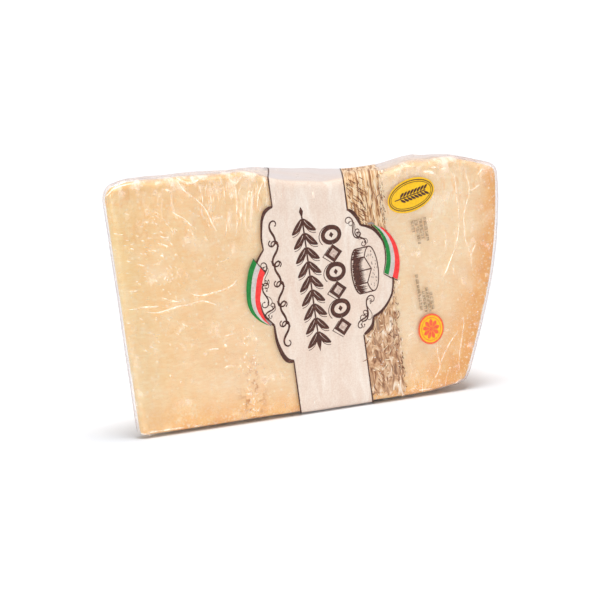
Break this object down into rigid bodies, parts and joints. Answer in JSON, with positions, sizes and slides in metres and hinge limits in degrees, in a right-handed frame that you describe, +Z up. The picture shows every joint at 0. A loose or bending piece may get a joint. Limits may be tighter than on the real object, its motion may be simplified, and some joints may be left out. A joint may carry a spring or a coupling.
{
  "type": "vacuum-packed wedge of hard grana cheese",
  "caption": "Wedge of hard straw-coloured grana cheese with a pale rind, shrunk tight in clear printed film, standing on the flat rind face of its wheel.",
  "frame": {"origin": "centre of the bounding box at the base, which is the wheel's flat rind face that the wedge stands on", "axes": "+X from the thin end along the printed cut face to the rind of the wheel's side; -Y out of the printed cut face; +Z up to the split top"},
  "size_m": [0.2098, 0.085, 0.1142],
  "materials": {
    "cheese": "hard straw-coloured cheese with fine grains, seen through clear film",
    "clear_film": "clear shrink film, glossy, with fine creases",
    "cream_print": "cream ink printed on the film",
    "brown_print": "dark brown ink printed on the film",
    "green_print": "green ink printed on the film",
    "red_print": "red ink printed on the film",
    "grey_print": "pale grey ink printed on the film",
    "yellow_print": "yellow ink printed on the film"
  },
  "bodies": {
    "root": {"wrapped_cheese_wedge": "cheese"}
  },
  "joints": []
}
